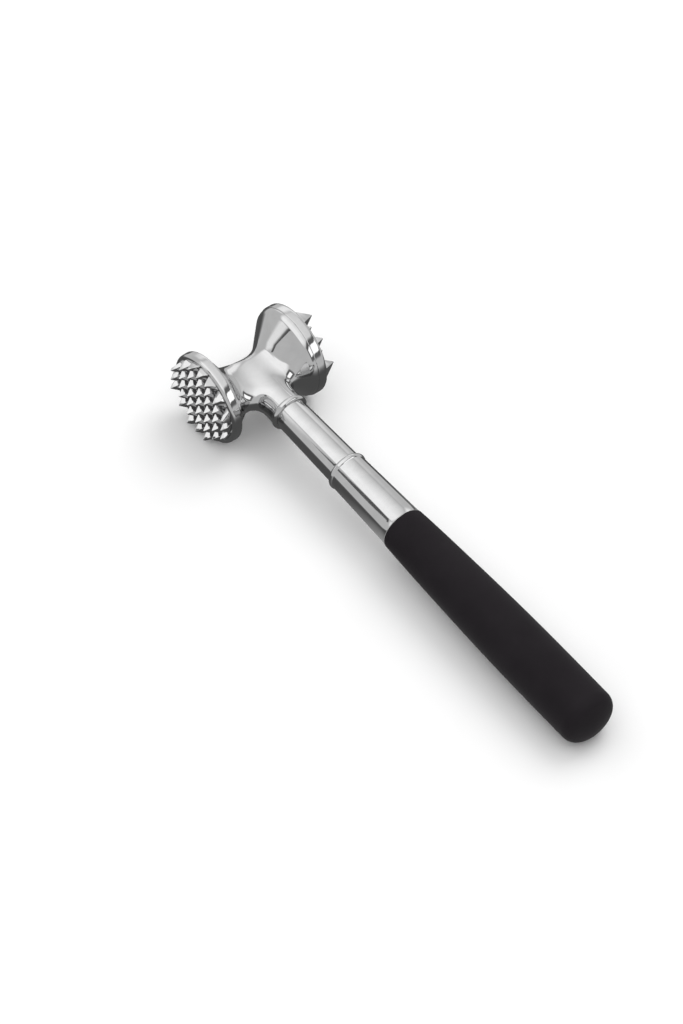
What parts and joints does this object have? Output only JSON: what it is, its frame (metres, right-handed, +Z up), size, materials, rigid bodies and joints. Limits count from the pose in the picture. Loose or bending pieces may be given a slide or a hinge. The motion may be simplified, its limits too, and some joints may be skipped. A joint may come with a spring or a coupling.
{
  "type": "meat mallet",
  "caption": "Double-faced meat mallet: polished head with a fine and a coarse toothed disc, stepped metal shaft and soft dark grip.",
  "frame": {"origin": "centre of the underside of the bounding box, on the surface that the mallet lies on", "axes": "+Z up, handle along -Y away from the head, fine striking face towards -X, coarse striking face towards +X"},
  "size_m": [0.0546, 0.2276, 0.0376],
  "materials": {
    "chrome": "mirror-polished plating",
    "steel": "zinc-plated, dull",
    "core_plastic": "moulded, matte",
    "grip_rubber": "soft-touch, satin"
  },
  "bodies": {
    "root": {"head_body": "chrome", "fine_tooth_disc": "chrome", "coarse_tooth_disc": "chrome", "front_bead_ring": "chrome", "front_shaft": "chrome", "middle_bead_ring": "chrome", "rear_shaft": "chrome", "tie_rod": "steel", "washer": "steel", "nut": "steel", "grip_core": "core_plastic", "grip": "grip_rubber"}
  },
  "joints": []
}
